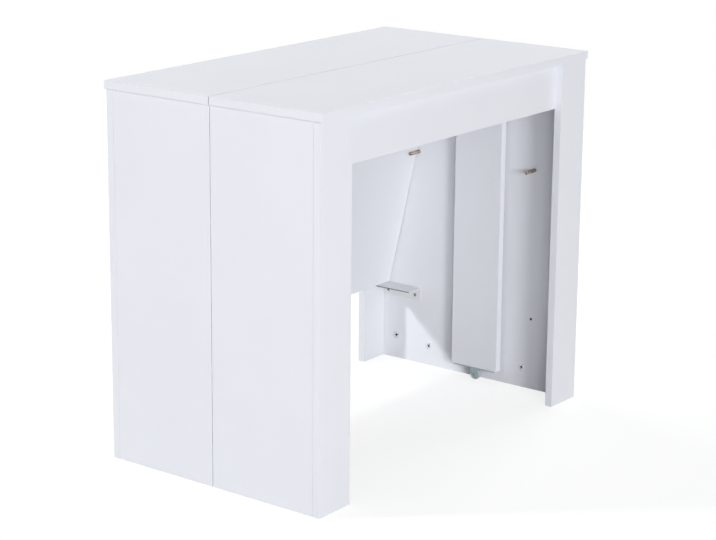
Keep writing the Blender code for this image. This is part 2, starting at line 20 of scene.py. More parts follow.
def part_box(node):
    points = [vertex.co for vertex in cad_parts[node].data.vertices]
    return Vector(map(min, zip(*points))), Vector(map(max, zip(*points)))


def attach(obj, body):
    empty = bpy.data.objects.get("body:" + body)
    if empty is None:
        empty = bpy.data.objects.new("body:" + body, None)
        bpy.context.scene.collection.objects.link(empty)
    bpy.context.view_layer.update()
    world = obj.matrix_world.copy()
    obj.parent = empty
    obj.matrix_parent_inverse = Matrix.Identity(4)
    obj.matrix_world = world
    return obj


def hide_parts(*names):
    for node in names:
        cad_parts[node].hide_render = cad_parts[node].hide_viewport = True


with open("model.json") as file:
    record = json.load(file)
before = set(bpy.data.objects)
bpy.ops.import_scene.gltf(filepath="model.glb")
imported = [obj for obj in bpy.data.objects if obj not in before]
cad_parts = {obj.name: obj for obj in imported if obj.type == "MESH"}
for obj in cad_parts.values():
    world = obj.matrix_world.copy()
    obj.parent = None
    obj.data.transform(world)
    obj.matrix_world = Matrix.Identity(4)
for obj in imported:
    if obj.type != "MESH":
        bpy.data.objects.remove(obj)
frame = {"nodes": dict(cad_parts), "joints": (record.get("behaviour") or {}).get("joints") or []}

LOG = logging.getLogger("extending_table")
CENTRE_BODY = "centre_legs"
# Gap where a piece sits on another, and how far a drill starts outside its hole
SEAT = 0.0003
# Corners closer than this become one
MERGE = 0.000005
SMOOTH_ANGLE = math.radians(40)
EDGE_STEPS = 2
HOLE_FACETS = 32
# Most of a noise texture lies between these
NOISE_LOW = 0.3
NOISE_HIGH = 0.7
WHITE = (1.0, 1.0, 1.0, 1.0)
UP = Vector((0.0, 0.0, 1.0))

Colour = tuple[float, float, float]
Span = tuple[float, float]
Stops = tuple[tuple[float, Colour], ...]
Points = Sequence[tuple[float, float]]
Material = bpy.types.Material
Mesh = bpy.types.Mesh
Piece = bpy.types.Object
Socket = bpy.types.NodeSocket


class Axis(Enum):
    """A direction of the table, as an index into a vector."""

    X = 0
    Y = 1
    Z = 2


class Half(Enum):
    """A half of the table, as the sign of its Y."""

    NEAR = -1
    FAR = 1

    @property
    def word(self) -> str:
        """The half's name in lower case, as the frame's nodes have it."""
        return self.name.lower()

    @property
    def body(self) -> str:
        """The body that the half's pieces ride on."""
        return f"{self.word}_half"

    @property
    def outwards(self) -> Vector:
        """The direction from the middle of the table to this half's end."""
        return Vector((0.0, self.value, 0.0))


class Side(Enum):
    """A side of the table, as the sign of its X."""

    LEFT = -1
    RIGHT = 1

    @property
    def word(self) -> str:
        """The side's name in lower case, as the frame's nodes have it."""
        return self.name.lower()

    @property
    def inwards(self) -> Vector:
        """The direction from this side to the middle of the table."""
        return Vector((-self.value, 0.0, 0.0))


class Slot(Enum):
    """Names of the record's material slots."""

    WHITE_BOARD = "white_board"
    WHITE_METAL = "white_metal"
    STEEL = "steel"
    CAM = "zinc_cam"
    BEECH = "beech"
    NYLON = "grey_plastic"


class CamKind(Enum):
    """What a cam lock pulls tight, with how far its slot is turned, in degrees."""

    STRIP = 20.0
    FOOT = 65.0
    TOP = 90.0


class Pattern(Enum):
    """A kind of texture, as its shader node and the output that is read."""

    CLOUDS = ("ShaderNodeTexNoise", "Fac")
    FLAKES = ("ShaderNodeTexVoronoi", "Color")


@dataclass(frozen=True)
class Grain:
    """A texture that a finish varies by.

    Attributes:
        per_metre: How many clouds or flakes a metre holds.
        detail: How many finer layers lie on them.
        pattern: Which of the two it has.
    """

    per_metre: float
    detail: float = 0.0
    pattern: Pattern = Pattern.CLOUDS


class Graph:
    """A material's node tree, with short ways to add the nodes that the finishes use."""

    def __init__(self, name: str) -> None:
        """Starts a material with a Principled shader.

        Args:
            name: The material's name.
        """
        self.material = bpy.data.materials.new(name)
        self.material.use_nodes = True
        self.nodes = self.material.node_tree.nodes
        self.links = self.material.node_tree.links
        self.shader = self.nodes["Principled BSDF"]

    def set(self, **values: float | Sequence[float]) -> None:
        """Sets plain values on the shader's sockets, whose spaces are underscores here."""
        for name, value in values.items():
            self.shader.inputs[name.replace("_", " ")].default_value = value

    def feed(self, name: str, source: Socket) -> None:
        """Links a node's output to the shader's socket of that name."""
        self.links.new(source, self.shader.inputs[name])

    def place(self, stretch: Sequence[float]) -> Socket:
        """The piece's own coordinates in metres.

        Args:
            stretch: Factor for each axis.

        Returns:
            A vector output.
        """
        source = self.nodes.new("ShaderNodeTexCoord").outputs["Object"]
        mapping = self.nodes.new("ShaderNodeMapping")
        mapping.inputs["Scale"].default_value = stretch
        self.links.new(source, mapping.inputs["Vector"])
        return mapping.outputs["Vector"]

    def texture(self, place: Socket, grain: Grain) -> Socket:
        """A texture from 0 to 1.

        Args:
            place: The coordinates to read.
            grain: What it looks like.

        Returns:
            The texture's output.
        """
        kind, output = grain.pattern.value
        node = self.nodes.new(kind)
        node.inputs["Scale"].default_value = grain.per_metre
        node.inputs["Detail"].default_value = grain.detail
        self.links.new(place, node.inputs["Vector"])
        return node.outputs[output]

    def ramp(self, amount: Socket, stops: Stops) -> Socket:
        """A colour picked along a ramp.

        Args:
            amount: Where on the ramp to read, from 0 to 1.
            stops: The ramp's places and colours.

        Returns:
            A colour output.
        """
        node = self.nodes.new("ShaderNodeValToRGB")
        elements = node.color_ramp.elements
        while len(elements) < len(stops):
            elements.new(1.0)
        for element, (place, colour) in zip(elements, stops):
            element.position = place
            element.color = (*colour, 1.0)
        self.links.new(amount, node.inputs["Fac"])
        return node.outputs["Color"]

    def spread(self, amount: Socket, span: Span) -> Socket:
        """Noise mapped from where most of it lies onto a range.

        Args:
            amount: The noise.
            span: The range's ends.

        Returns:
            A value output.
        """
        node = self.nodes.new("ShaderNodeMapRange")
        node.inputs["From Min"].default_value = NOISE_LOW
        node.inputs["From Max"].default_value = NOISE_HIGH
        node.inputs["To Min"].default_value, node.inputs["To Max"].default_value = span
        self.links.new(amount, node.inputs["Value"])
        return node.outputs["Result"]

    def bump(self, height: Socket, depth: float) -> None:
        """Raises the surface by a texture.

        Args:
            height: The texture, from 0 to 1.
            depth: The height of its full range, in metres.
        """
        node = self.nodes.new("ShaderNodeBump")
        node.inputs["Distance"].default_value = depth
        self.links.new(height, node.inputs["Height"])
        self.feed("Normal", node.outputs["Normal"])


def tinted(colour: Colour, low: float, high: float) -> Stops:
    """A ramp between two tints of a colour, which multiply it by a low and a high factor."""
    ends = ((NOISE_LOW, low), (NOISE_HIGH, high))
    return tuple((place, tuple(channel * factor for channel in colour)) for place, factor in ends)


@dataclass(frozen=True)
class Finish:
    """What a surface is made of. Each finish of the table fills this in.

    Attributes:
        name: The material's name.
        stops: Its colours, with their places in the colour's texture.
        grain: The texture that picks its colour.
        roughness: Its least and greatest roughness.
        relief: The height of its bumps, in metres.
        rough_grain: The texture that picks its roughness, if not the colour's.
        relief_grain: The texture of its bumps, if not the colour's.
        stretch: How much closer the textures lie along each axis.
        metallic: How far it is a metal.
        gloss: Strength of its reflections, as the shader's specular level.
    """

    name: str
    stops: Stops
    grain: Grain
    roughness: Span
    relief: float
    rough_grain: Grain | None = None
    relief_grain: Grain | None = None
    stretch: tuple[float, float, float] = (1.0, 1.0, 1.0)
    metallic: float = 0.0
    gloss: float = 0.5

    def material(self) -> Material:
        """Makes the material.

        Returns:
            The material.
        """
        graph = Graph(self.name)
        place = graph.place(self.stretch)
        tint = graph.texture(place, self.grain)
        graph.feed("Base Color", graph.ramp(tint, self.stops))
        least, greatest = self.roughness
        if least == greatest:
            graph.set(Roughness=least)
        else:
            rub = graph.texture(place, self.rough_grain) if self.rough_grain else tint
            graph.feed("Roughness", graph.spread(rub, self.roughness))
        graph.set(Metallic=self.metallic, Specular_IOR_Level=self.gloss)
        height = graph.texture(place, self.relief_grain) if self.relief_grain else tint
        graph.bump(height, self.relief)
        return graph.material


@dataclass(frozen=True)
class FacedWhite(Finish):
    """Melamine face of a board: white paper in resin, with a fine pearl texture."""

    name: str = "faced_white"
    stops: Stops = tinted((0.80, 0.807, 0.845), 0.992, 1.008)
    grain: Grain = Grain(7.0, 3.0)
    roughness: Span = (0.50, 0.58)
    relief: float = 0.00002
    rough_grain: Grain = Grain(28.0, 4.0)
    relief_grain: Grain = Grain(1100.0, 1.0)
    gloss: float = 0.27


@dataclass(frozen=True)
class EdgeWhite(Finish):
    """Plastic strip glued round a board's edges, smoother than the face."""

    name: str = "edge_white"
    stops: Stops = tinted((0.81, 0.816, 0.85), 0.99, 1.006)
    grain: Grain = Grain(16.0, 3.0)
    roughness: Span = (0.26, 0.36)
    relief: float = 0.000015
    rough_grain: Grain = Grain(120.0, 3.0)
    relief_grain: Grain = Grain(420.0, 2.0)


@dataclass(frozen=True)
class Chipboard(Finish):
    """Raw core of a board, as the walls of its holes show it, with its brown made darker as painted
    shade inside the holes.
    """

    name: str = "chipboard"
    # Dark browns: the core's colour darkened to paint the shade inside the holes
    stops: Stops = ((0.1, (0.045, 0.038, 0.033)), (0.8, (0.19, 0.165, 0.14)))
    grain: Grain = Grain(620.0, pattern=Pattern.FLAKES)
    roughness: Span = (0.9, 0.9)
    relief: float = 0.0003


@dataclass(frozen=True)
class PowderCoat(Finish):
    """White powder coat on folded sheet, with a soft orange peel."""

    name: str = "powder_coat"
    stops: Stops = tinted((0.74, 0.75, 0.77), 0.98, 1.01)
    grain: Grain = Grain(45.0, 3.0)
    roughness: Span = (0.37, 0.47)
    relief: float = 0.00006
    relief_grain: Grain = Grain(650.0, 1.0)


@dataclass(frozen=True)
class Extruded(Finish):
    """Mill-finish aluminium with fine die lines along the runner."""

    name: str = "extruded_aluminium"
    stops: Stops = tinted((0.52, 0.53, 0.55), 0.92, 1.04)
    grain: Grain = Grain(1500.0, 3.0)
    roughness: Span = (0.31, 0.47)
    relief: float = 0.00002
    stretch: tuple[float, float, float] = (1.0, 0.004, 1.0)
    metallic: float = 1.0


@dataclass(frozen=True)
class ZincPlate(Finish):
    """Bright zinc plate on steel, with faint warm and cool clouds."""

    name: str = "zinc_plate"
    stops: Stops = ((NOISE_LOW, (0.60, 0.595, 0.58)), (NOISE_HIGH, (0.57, 0.585, 0.605)))
    grain: Grain = Grain(110.0, 3.0)
    roughness: Span = (0.24, 0.40)
    relief: float = 0.00001
    relief_grain: Grain = Grain(1600.0, 2.0)
    metallic: float = 1.0


@dataclass(frozen=True)
class DieCast(Finish):
    """Dull grey die-cast zinc, grainy from the mould."""

    name: str = "die_cast_zinc"
    stops: Stops = tinted((0.80, 0.81, 0.83), 0.86, 1.08)
    grain: Grain = Grain(900.0, 3.0)
    roughness: Span = (0.38, 0.56)
    relief: float = 0.00005
    metallic: float = 0.6


@dataclass(frozen=True)
class DarkRecess(Finish):
    """Near-black walls of the recesses that a driver turns in: painted shade for their depth."""

    name: str = "dark_recess"
    stops: Stops = tinted((0.030, 0.031, 0.034), 0.6, 1.6)
    grain: Grain = Grain(1400.0, 3.0)
    roughness: Span = (0.55, 0.85)
    relief: float = 0.00005


@dataclass(frozen=True)
class CutSteel(Finish):
    """Raw steel where a coated sheet was cut, torn across its thickness, and dark as painted shade from
    under the bracket's shelf.
    """

    name: str = "cut_steel"
    stops: Stops = tinted((0.24, 0.245, 0.255), 0.6, 1.5)
    grain: Grain = Grain(1900.0, 3.0)
    roughness: Span = (0.45, 0.75)
    relief: float = 0.00004
    stretch: tuple[float, float, float] = (1.0, 1.0, 0.25)
    metallic: float = 0.5


@dataclass(frozen=True)
class Beech(Finish):
    """Turned beech with its grain along the pin and short darker flecks."""

    name: str = "beech"
    stops: Stops = (
        (0.36, (0.085, 0.06, 0.048)),
        (0.47, (0.30, 0.22, 0.165)),
        (0.58, (0.53, 0.43, 0.34)),
    )
    grain: Grain = Grain(340.0, 4.0)
    roughness: Span = (0.62, 0.62)
    relief: float = 0.00008
    stretch: tuple[float, float, float] = (0.22, 1.0, 1.0)


@dataclass(frozen=True)
class Nylon(Finish):
    """Moulded grey-teal nylon of the castors."""

    name: str = "castor_nylon"
    stops: Stops = tinted((0.35, 0.42, 0.44), 0.93, 1.06)
    grain: Grain = Grain(240.0, 3.0)
    roughness: Span = (0.34, 0.48)
    relief: float = 0.00002
    relief_grain: Grain = Grain(2200.0, 1.0)


@dataclass(frozen=True)
class Tread(Nylon):
    """The nylon of the wheels' rims, paler and rubbed by the floor."""

    name: str = "castor_tread"
    stops: Stops = tinted((0.44, 0.50, 0.51), 0.93, 1.06)
    roughness: Span = (0.44, 0.58)


def made(finish: Finish) -> Material:
    """A dataclass field that makes a finish's material."""
    return field(default_factory=finish.material)


@dataclass
class Finishes:
    """Every material of the table, made once."""

    face: Material = made(FacedWhite())
    edge: Material = made(EdgeWhite())
    core: Material = made(Chipboard())
    coat: Material = made(PowderCoat())
    extruded: Material = made(Extruded())
    plate: Material = made(ZincPlate())
    cast: Material = made(DieCast())
    recess: Material = made(DarkRecess())
    slit: Material = made(CutSteel())
    beech: Material = made(Beech())
    nylon: Material = made(Nylon())
    tread: Material = made(Tread())


def node_centre(node: str) -> Vector:
    """The middle of a frame node's box."""
    low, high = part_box(node)
    return (low + high) / 2


def node_size(node: str) -> Vector:
    """The size of a frame node's box."""
    low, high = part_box(node)
    return high - low


def outer_x(node: str, side: Side) -> float:
    """The X of a frame node's face that looks away from the middle of the table."""
    low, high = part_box(node)
    return high.x if side is Side.RIGHT else low.x


def facing(point: Vector, direction: Vector, turn: float = 0.0) -> Matrix:
    """A place at a point, with local Z along a direction and a turn about it in radians."""
    swing = direction.to_track_quat("Z", "Y").to_matrix().to_4x4()
    return Matrix.Translation(point) @ swing @ Matrix.Rotation(turn, 4, "Z")


def link(name: str, mesh: Mesh, place: Matrix | None = None) -> Piece:
    """Puts a mesh in the scene as an object.

    Args:
        name: The object's name.
        mesh: Its mesh.
        place: Where it goes, if not at the origin.

    Returns:
        The object.
    """
    piece = bpy.data.objects.new(name, mesh)
    bpy.context.scene.collection.objects.link(piece)
    if place is not None:
        piece.matrix_world = place
    return piece


def smooth(mesh: Mesh) -> None:
    """Shades a mesh smooth, with its corners kept sharp."""
    mesh.shade_smooth()
    mesh.set_sharp_from_angle(angle=SMOOTH_ANGLE)


def mesh_of(name: str, work: bmesh.types.BMesh) -> Mesh:
    """Turns a bmesh into a smooth-shaded mesh and frees it.

    Args:
        name: The mesh's name.
        work: The bmesh.

    Returns:
        The mesh.
    """
    bmesh.ops.recalc_face_normals(work, faces=work.faces)
    mesh = bpy.data.meshes.new(name)
    work.to_mesh(mesh)
    work.free()
    smooth(mesh)
    return mesh


def turned(name: str, profile: Points, facets: int) -> Mesh:
    """Turns a profile about Z.

    Args:
        name: The mesh's name.
        profile: (radius, height) points down the outer side; ends at radius 0 are closed.
        facets: How many sides the turning has.

    Returns:
        The mesh.
    """
    work = bmesh.new()
    points = [work.verts.new((radius, 0.0, height)) for radius, height in profile]
    edges = [work.edges.new(pair) for pair in zip(points, points[1:])]
    bmesh.ops.spin(
        work,
        geom=points + edges,
        cent=(0.0, 0.0, 0.0),
        axis=UP,
        angle=2 * math.pi,
        steps=facets,
        use_merge=True,
    )
    bmesh.ops.remove_doubles(work, verts=work.verts, dist=MERGE)
    return mesh_of(name, work)


def prism(name: str, outline: Points, along: Axis, length: float) -> Mesh:
    """Draws an outline out along an axis, half of the length each way.

    Args:
        name: The mesh's name.
        outline: Points in the other two axes, in X, Y, Z order.
        along: The axis to draw along.
        length: How far.

    Returns:
        The mesh.
    """
    work = bmesh.new()
    others = [axis.value for axis in Axis if axis is not along]
    corners = []
    for point in outline:
        corner = Vector()
        corner[others[0]], corner[others[1]] = point
        corner[along.value] = -length / 2
        corners.append(work.verts.new(corner))
    face = work.faces.new(corners)
    drawn = bmesh.ops.extrude_face_region(work, geom=[face])
    step = Vector()
    step[along.value] = length
    moved = [item for item in drawn["geom"] if isinstance(item, bmesh.types.BMVert)]
    bmesh.ops.translate(work, vec=step, verts=moved)
    return mesh_of(name, work)


def arc(centre: tuple[float, float], radius: float, start: float, end: float, steps: int) -> Points:
    """Points along an arc.

    Args:
        centre: The arc's middle.
        radius: Its radius.
        start: The angle of its first point, in degrees.
        end: The angle of its last point, in degrees.
        steps: How many straight steps it has.

    Returns:
        The points.
    """
    angles = [math.radians(start + (end - start) * step / steps) for step in range(steps + 1)]
    x, y = centre
    return [(x + radius * math.cos(angle), y + radius * math.sin(angle)) for angle in angles]


def cutter(name: str, work: bmesh.types.BMesh, slot: int) -> Piece:
    """Makes a shape to cut with.

    Args:
        name: Its name.
        work: Its bmesh.
        slot: Material index that the cut's walls take.

    Returns:
        The cutter, which is removed once it has cut.
    """
    for face in work.faces:
        face.material_index = slot
    return link(name, mesh_of(name, work))


@dataclass(frozen=True)
class Hole:
    """A round hole drilled into a piece.

    Attributes:
        mouth: The middle of the hole's mouth.
        inwards: The direction that the drill goes.
        radius: The hole's radius.
        depth: How deep it goes.
    """

    mouth: Vector
    inwards: Vector
    radius: float
    depth: float


def drills(holes: Iterable[Hole], slot: int) -> Piece:
    """One cutter with a rod for each hole.

    Args:
        holes: The holes to drill.
        slot: Material index that the holes' walls take.

    Returns:
        The cutter.
    """
    work = bmesh.new()
    for hole in holes:
        middle = hole.mouth + hole.inwards * (hole.depth - SEAT) / 2
        bmesh.ops.create_cone(
            work,
            cap_ends=True,
            segments=HOLE_FACETS,
            radius1=hole.radius,
            radius2=hole.radius,
            depth=hole.depth + SEAT,
            matrix=facing(middle, hole.inwards),
        )
    return cutter("drills", work, slot)


def block(reach: Vector, middle: Vector, slot: int = 0) -> Piece:
    """A box to cut with.

    Args:
        reach: Half of its size.
        middle: Its middle.
        slot: Material index that the cut's walls take.

    Returns:
        The cutter.
    """
    work = bmesh.new()
    bmesh.ops.create_cube(work, size=2.0)
    bmesh.ops.scale(work, vec=reach, verts=work.verts)
    bmesh.ops.translate(work, vec=middle, verts=work.verts)
    return cutter("block", work, slot)


def crossed(long: float, wide: float, deep: float) -> tuple[Vector, Vector]:
    """Half sizes of the two boxes that cut a crossed recess."""
    return Vector((long, wide, deep)), Vector((wide, long, deep))


def unlink(piece: Piece) -> Mesh:
    """Takes an object out of the scene and keeps its mesh.

    Args:
        piece: The object.

    Returns:
        Its mesh.
    """
    mesh = piece.data
    bpy.data.objects.remove(piece, do_unlink=True)
    return mesh


def bake(piece: Piece) -> None:
    """Applies a piece's modifiers to its mesh.

    Args:
        piece: The piece.
    """
    bpy.context.view_layer.update()
    graph = bpy.context.evaluated_depsgraph_get()
    piece_mesh = bpy.data.meshes.new_from_object(piece.evaluated_get(graph))
    piece.modifiers.clear()
    piece.data = piece_mesh
    smooth(piece_mesh)


def cut(piece: Piece, shape: Piece, joined: bool = False) -> None:
    """Cuts a shape out of a piece, or joins it on, and removes the shape.

    Args:
        piece: The piece to cut.
        shape: The shape.
        joined: True to add the shape instead.
    """
    modifier = piece.modifiers.new("cut", "BOOLEAN")
    modifier.operation = "UNION" if joined else "DIFFERENCE"
    modifier.object = shape
    bake(piece)
    bpy.data.objects.remove(shape, do_unlink=True)


def soften(piece: Piece, width: float) -> None:
    """Rounds a piece's sharp edges.

    Args:
        piece: The piece.
        width: The rounding's radius.
    """
    bevel = piece.modifiers.new("soften", "BEVEL")
    bevel.width = width
    bevel.segments = EDGE_STEPS
    bevel.limit_method = "ANGLE"
    bevel.angle_limit = SMOOTH_ANGLE
    bake(piece)


def flatten_shading(piece: Piece) -> None:
    """Keeps the shading of large faces flat up to their rounded edges."""
    modifier = piece.modifiers.new("flat faces", "WEIGHTED_NORMAL")
    modifier.keep_sharp = True


def hand_over(piece: Piece, body: str, replaced: Sequence[str] = ()) -> None:
    """Makes a piece ride on its body and stand for its frame nodes.

    Args:
        piece: The finished piece.
        body: The body that it moves with.
        replaced: The frame nodes that it stands for.
    """
    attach(piece, body)
    if replaced:
        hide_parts(*replaced)
    LOG.info("%s on %s, %d faces", piece.name, body, len(piece.data.polygons))


def paint(piece: Piece, *materials: Material) -> None:
    """Gives a piece its materials, in slot order.

    Args:
        piece: The piece.
        *materials: The materials.
    """
    piece.data.materials.clear()
    for material in materials:
        piece.data.materials.append(material)


def keep_node(node: str, material: Material) -> None:
    """Gives a frame node, whose shape is right, its finish."""
    paint(frame["nodes"][node], material)
    LOG.info("%s keeps its shape", node)


@dataclass
class FacedBoard:
    """A board with melamine faces and strips glued along its edges.

    Attributes:
        node: The frame node that it stands for.
        body: The body that it rides on.
        face: The axis across its thickness.
        finishes: The table's materials.
        holes: What is drilled into it.
        strip: Thickness of the edge strips.
        seam: Half width of the groove where a strip meets a face.
        seam_depth: Depth of that groove.
        arris: Rounding of its edges.
    """

    node: str
    body: str
    face: Axis
    finishes: Finishes
    holes: Sequence[Hole] = ()
    strip: float = 0.0010
    seam: float = 0.00010
    seam_depth: float = 0.00012
    arris: float = 0.0002

    FACE_SLOT = 0
    EDGE_SLOT = 1
    CORE_SLOT = 2
    ARRIS_STEPS = 3
    ROUND_PROFILE = 0.5

    def slab(self, size: Vector, middle: Vector) -> Mesh:
        """The board's body before it is drilled.

        Args:
            size: Its size.
            middle: Its middle.

        Returns:
            The mesh, with face and edge slots.
        """
        work = bmesh.new()
        bmesh.ops.create_cube(work, size=1.0)
        bmesh.ops.scale(work, vec=size, verts=work.verts)
        bmesh.ops.translate(work, vec=middle, verts=work.verts)
        arrises = list(work.edges)
        faces = [side for side in work.faces if round(abs(side.normal[self.face.value])) == 1]
        for side in work.faces:
            side.material_index = self.FACE_SLOT if side in faces else self.EDGE_SLOT
        rim = bmesh.ops.inset_individual(work, faces=faces, thickness=self.strip)
        for side in rim["faces"]:
            side.material_index = self.EDGE_SLOT
        for depth in (-self.seam_depth, self.seam_depth):
            bmesh.ops.inset_individual(work, faces=faces, thickness=self.seam, depth=depth)
        bmesh.ops.bevel(
            work,
            geom=arrises,
            offset=self.arris,
            segments=self.ARRIS_STEPS,
            profile=self.ROUND_PROFILE,
            affect="EDGES",
            material=self.EDGE_SLOT,
        )
        return mesh_of(self.node, work)

    def build(self) -> None:
        """Makes the board and hands it over."""
        self.dress(self.slab(node_size(self.node), node_centre(self.node)))

    def dress(self, slab: Mesh) -> None:
        """Paints and drills a board, and hands it over.

        Args:
            slab: The board's body.
        """
        piece = link(f"{self.node}_board", slab)
        # The third material, on the holes' walls, is the core darkened as painted shade
        paint(piece, self.finishes.face, self.finishes.edge, self.finishes.core)
        if self.holes:
            cut(piece, drills(self.holes, self.CORE_SLOT))
        flatten_shading(piece)
        hand_over(piece, self.body, [self.node])


@dataclass
class PanScrew:
    """A pan-head screw with a crossed recess, its head seated at Z 0.

    Attributes:
        head_radius: The head's radius.
        head_height: Its height.
        rim: Height of the head's upright rim.
        shank_radius: The shank's radius.
        shank: How far the shank goes in.
        recess: Reach of the crossed recess from the middle.
        recess_width: Its width.
        recess_depth: Its depth.
    """

    head_radius: float = 0.0040
    head_height: float = 0.0022
    rim: float = 0.00077
    shank_radius: float = 0.0016
    shank: float = 0.0040
    recess: float = 0.0028
    recess_width: float = 0.0018
    recess_depth: float = 0.0017

    FACETS = 28
    CROWN_STEPS = 5
    RECESS_SLOT = 1

    def mesh(self, finishes: Finishes) -> Mesh:
        """The screw's mesh, which every screw shares.

        Args:
            finishes: The table's materials.

        Returns:
            The painted mesh.
        """
        dome = arc((0.0, 0.0), 1.0, 90, 0, self.CROWN_STEPS)
        crown = self.head_height - self.rim
        profile = [(self.head_radius * out, self.rim + crown * up) for out, up in dome]
        profile += [
            (self.head_radius, SEAT),
            (self.shank_radius, SEAT),
            (self.shank_radius, -self.shank),
            (0.0, -self.shank),
        ]
        screw = link("screw", turned("pan_screw", profile, self.FACETS))
        # The recess's walls take near-black painted shade
        paint(screw, finishes.plate, finishes.recess)
        top = Vector((0.0, 0.0, self.head_height))
        for reach in crossed(self.recess, self.recess_width / 2, self.recess_depth):
            cut(screw, block(reach, top, self.RECESS_SLOT))
        return unlink(screw)


@dataclass
class CamLock:
    """A cam lock seen end on: a disc with a crossed slot and a pointer, its face at Z 0.

    Attributes:
        radius: The disc's radius.
        depth: How deep it goes.
        round: Rounding of its rim.
        slot: Reach of the crossed slot from the middle.
        slot_width: Its width.
        slot_depth: Its depth.
        pointer: Length of the notch that shows which way the cam is turned, half as wide.
    """

    radius: float = 0.0075
    depth: float = 0.0110
    round: float = 0.0005
    slot: float = 0.0043
    slot_width: float = 0.0025
    slot_depth: float = 0.0050
    pointer: float = 0.0024

    FACETS = 40
    ROUND_STEPS = 3
    RECESS_SLOT = 1

    def mesh(self, finishes: Finishes) -> Mesh:
        """The cam's mesh, which every cam shares.

        Args:
            finishes: The table's materials.

        Returns:
            The painted mesh.
        """
        bend = arc((self.radius - self.round, -self.round), self.round, 90, 0, self.ROUND_STEPS)
        profile = [(0.0, 0.0), *bend, (self.radius, -self.depth), (0.0, -self.depth)]
        cam = link("cam", turned("cam_lock", profile, self.FACETS))
        # The slot's and pointer's walls take near-black painted shade
        paint(cam, finishes.cast, finishes.recess)
        for reach in crossed(self.slot, self.slot_width / 2, self.slot_depth):
            cut(cam, block(reach, Vector(), self.RECESS_SLOT))
        notch = Vector((self.pointer / 2, self.pointer / 4, self.slot_depth / 2))
        rim = Vector((self.radius - self.pointer / 2, 0.0, 0.0))
        cut(cam, block(notch, rim, self.RECESS_SLOT))
        return unlink(cam)


@dataclass
class FlutedPin:
    """A beech dowel pin with pressed flutes and chamfered ends, along local Z.

    Attributes:
        radius: The pin's radius.
        length: Its length, half of it each way.
        chamfer: Size of its end chamfers.
        flutes: How many flutes go round it.
        flute_depth: How deep they are.
    """

    radius: float
    length: float
    chamfer: float = 0.0010
    flutes: int = 16
    flute_depth: float = 0.00022

    POINTS_PER_FLUTE = 4
    FLUTE_SHARPNESS = 3

    def mesh(self) -> Mesh:
        """The pin's mesh.

        Returns:
            The mesh.
        """
        work = bmesh.new()
        end = self.length / 2
        shoulder = end - self.chamfer
        rings = [(-end, self.chamfer), (-shoulder, 0.0), (shoulder, 0.0), (end, self.chamfer)]
        count = self.flutes * self.POINTS_PER_FLUTE
        loops = []
        for height, inset in rings:
            loop = []
            for index in range(count):
                angle = 2 * math.pi * index / count
                wave = (1 + math.cos(self.flutes * angle)) / 2
                reach = self.radius - inset - self.flute_depth * wave**self.FLUTE_SHARPNESS
                loop.append(work.verts.new((reach * math.cos(angle), reach * math.sin(angle), height)))
            loops.append(loop)
        for lower, upper in zip(loops, loops[1:]):
            for index in range(count):
                after = (index + 1) % count
                work.faces.new((lower[index], lower[after], upper[after], upper[index]))
        work.faces.new(list(reversed(loops[0])))
        work.faces.new(loops[-1])
        return mesh_of("fluted_pin", work)


class Hardware:
    """Meshes of the fasteners, each made once and shared by its copies."""

    def __init__(self, finishes: Finishes) -> None:
        """Makes the meshes and paints them."""
        self.screw = PanScrew().mesh(finishes)
        self.cam = CamLock().mesh(finishes)


@dataclass
class SubAssembly:
    """What every part of the table that is built as one needs.

    Attributes:
        finishes: The table's materials.
        hardware: The shared meshes.
    """

    finishes: Finishes
    hardware: Hardware


@dataclass(frozen=True)
class CamSpot:
    """A place for a cam lock.

    Attributes:
        name: Its name, without the words for a cam lock.
        kind: What it pulls tight.
        mouth: The middle of its face.
        looks: The direction that its face looks.
        nodes: The frame node that it stands for, if there is one.
    """

    name: str
    kind: CamKind
    mouth: Vector
    looks: Vector
    nodes: tuple[str, ...] = ()


